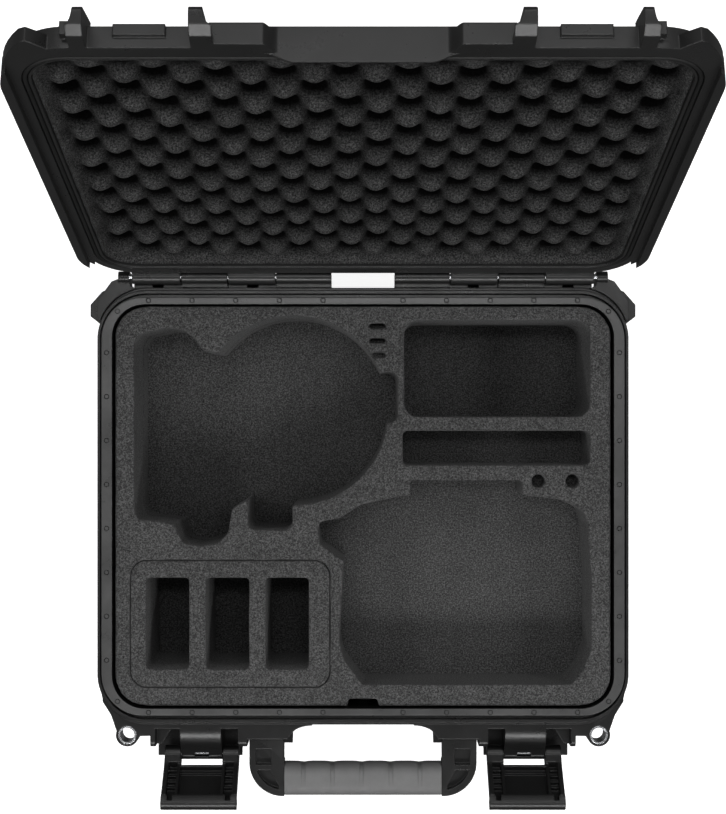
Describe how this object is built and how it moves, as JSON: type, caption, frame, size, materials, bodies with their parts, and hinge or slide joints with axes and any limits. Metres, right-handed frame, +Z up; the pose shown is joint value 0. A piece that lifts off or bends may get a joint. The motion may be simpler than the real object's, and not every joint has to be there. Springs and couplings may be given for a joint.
{
  "type": "drone carrying case",
  "caption": "Hard-shell carrying case with a hinged lid lined in egg-crate foam, cut foam pockets, front latches and a folding handle.",
  "frame": {"origin": "centre of the underside of the base, on the ground", "axes": "+Z up, +Y towards the hinge, +X to the right when seen from the handle side"},
  "size_m": [0.372, 0.4695, 0.3968],
  "materials": {
    "shell_plastic": "moulded satin black",
    "foam": "open-cell dark grey foam",
    "seal_rubber": "matte black",
    "grip_rubber": "matte grey",
    "steel": "polished steel"
  },
  "bodies": {
    "base": {"base_shell": "shell_plastic", "base_front_mounts": "shell_plastic", "base_rear_mounts": "shell_plastic", "eyelet_bushings": "steel", "foam_bottom_pad": "foam", "foam_tray_lower": "foam", "foam_tray_upper": "foam", "foam_battery_block": "foam", "hinge_pin_left": "steel", "hinge_pin_right": "steel", "latch_pin_left": "steel", "latch_pin_right": "steel", "handle_pin_left": "steel", "handle_pin_right": "steel", "valve_body": "shell_plastic", "valve_seal": "seal_rubber", "valve_nut": "shell_plastic", "valve_cap": "shell_plastic"},
    "lid": {"lid_shell": "shell_plastic", "lid_gasket": "seal_rubber", "lid_foam": "foam"},
    "latch_left": {"latch_lever_left": "shell_plastic"},
    "latch_right": {"latch_lever_right": "shell_plastic"},
    "handle": {"handle_frame": "shell_plastic", "handle_grip": "grip_rubber"}
  },
  "joints": [
    {"name": "lid_hinge", "type": "hinge", "parent": "base", "child": "lid", "pos_m": [0, 0.155, 0.092], "axis": [1, 0, 0], "range_deg": [0, 107]},
    {"name": "latch_left_hinge", "type": "hinge", "parent": "base", "child": "latch_left", "pos_m": [-0.1105, -0.171, 0.071], "axis": [-1, 0, 0], "range_deg": [-46, 70]},
    {"name": "latch_right_hinge", "type": "hinge", "parent": "base", "child": "latch_right", "pos_m": [0.1105, -0.171, 0.071], "axis": [-1, 0, 0], "range_deg": [-46, 70]},
    {"name": "handle_hinge", "type": "hinge", "parent": "base", "child": "handle", "pos_m": [0, -0.158, 0.067], "axis": [1, 0, 0], "range_deg": [-35, 86]}
  ]
}
